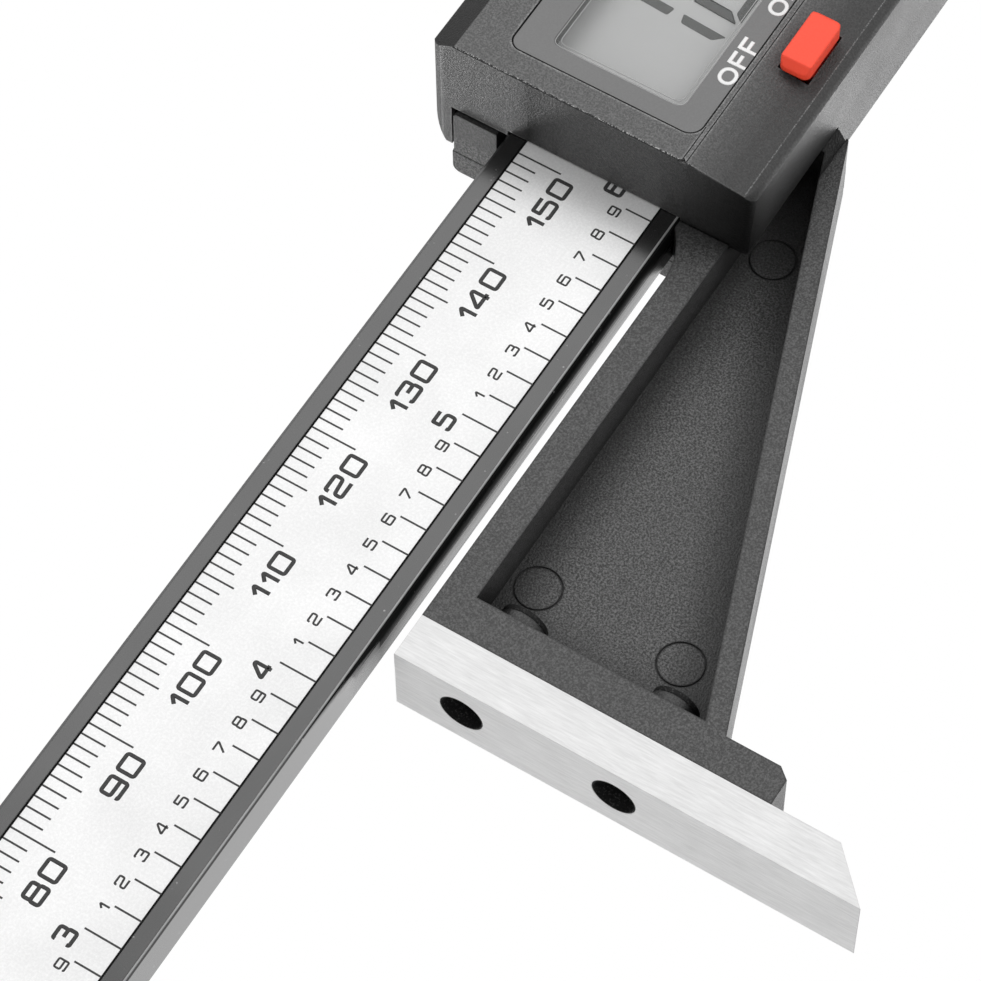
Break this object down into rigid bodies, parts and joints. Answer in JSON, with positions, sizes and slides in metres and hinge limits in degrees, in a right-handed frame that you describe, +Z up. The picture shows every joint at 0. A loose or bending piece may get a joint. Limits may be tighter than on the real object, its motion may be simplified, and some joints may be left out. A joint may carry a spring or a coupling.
{
  "type": "height gauge",
  "caption": "Digital height gauge: an upright beam with a printed scale on a magnetic base, and a sliding display head with a triangular leg and a bevelled measuring bar.",
  "frame": {"origin": "under the middle of the beam, on the face that stands on the table", "axes": "+Z up along the beam, +X towards the leg and the measuring bar, -Y towards the reader (scale and display)"},
  "size_m": [0.0988, 0.029, 0.268],
  "materials": {
    "black_gloss": "smooth glossy moulded plastic",
    "black_moulded": "fine spark-textured ABS",
    "grey_moulded": "fine spark-textured ABS",
    "silver_print": "speckled silver film, printed black",
    "grey_print": "printed polyester overlay",
    "fibreglass": "lacquered circuit board",
    "bright_aluminium": "fine brushed, bright",
    "black_steel": "black oxide",
    "nickel_steel": "nickel plated",
    "spring_metal": "phosphor bronze, as rolled",
    "brass": "turned",
    "clear_window": "clear polished plastic",
    "liquid_crystal": "grey-green reflective display",
    "ivory_plastic": "moulded",
    "conductive_rubber": "layered elastomer",
    "red_plastic": "satin moulded plastic",
    "button_plastic": "silver-painted plastic"
  },
  "bodies": {
    "stand": {"beam": "black_gloss", "scale_board": "fibreglass", "scale_label": "silver_print", "end_cap": "black_moulded", "end_cap_screw": "black_steel", "base_body": "black_moulded", "foot_plate": "bright_aluminium", "foot_magnets": "nickel_steel", "foot_screws": "black_steel", "beam_screws": "black_steel"},
    "head": {"slider_body": "black_moulded", "front_cover": "grey_moulded", "rear_cover": "black_moulded", "rear_cover_screws": "black_steel", "jaw_bar": "bright_aluminium", "jaw_screws": "black_steel", "display_label": "grey_print", "lcd_window": "clear_window", "lcd_panel": "liquid_crystal", "lcd_holder": "ivory_plastic", "zebra_strips": "conductive_rubber", "circuit_board": "fibreglass", "board_screws": "nickel_steel", "switch_block": "nickel_steel", "button_domes": "spring_metal", "battery": "nickel_steel", "battery_contacts": "spring_metal", "gib_spring": "spring_metal", "lock_insert": "brass", "lock_shoe": "brass"},
    "power_knob": {"power_knob": "red_plastic"},
    "zero_button": {"zero_button": "button_plastic"},
    "unit_button": {"unit_button": "button_plastic"},
    "battery_door": {"battery_door": "grey_moulded"},
    "lock_screw": {"lock_screw": "black_steel"}
  },
  "joints": [
    {"name": "head_slide", "type": "slide", "parent": "stand", "child": "head", "axis": [0, 0, 1], "range_m": [-0.15125, 0.003]},
    {"name": "power_slide", "type": "slide", "parent": "head", "child": "power_knob", "axis": [0, 0, 1], "range_m": [-0.002, 0]},
    {"name": "zero_press", "type": "slide", "parent": "head", "child": "zero_button", "axis": [0, 1, 0], "range_m": [0, 0.0005], "stiffness_N_per_m": 300},
    {"name": "unit_press", "type": "slide", "parent": "head", "child": "unit_button", "axis": [0, 1, 0], "range_m": [0, 0.0005], "stiffness_N_per_m": 300},
    {"name": "battery_door_slide", "type": "slide", "parent": "head", "child": "battery_door", "axis": [0, 0, 1], "range_m": [0, 0.012]},
    {"name": "lock_turn", "type": "hinge", "parent": "head", "child": "lock_screw", "pos_m": [-0.015, 0.0023, 0.24385], "axis": [1, 0, 0], "range_deg": [0, 270]}
  ]
}
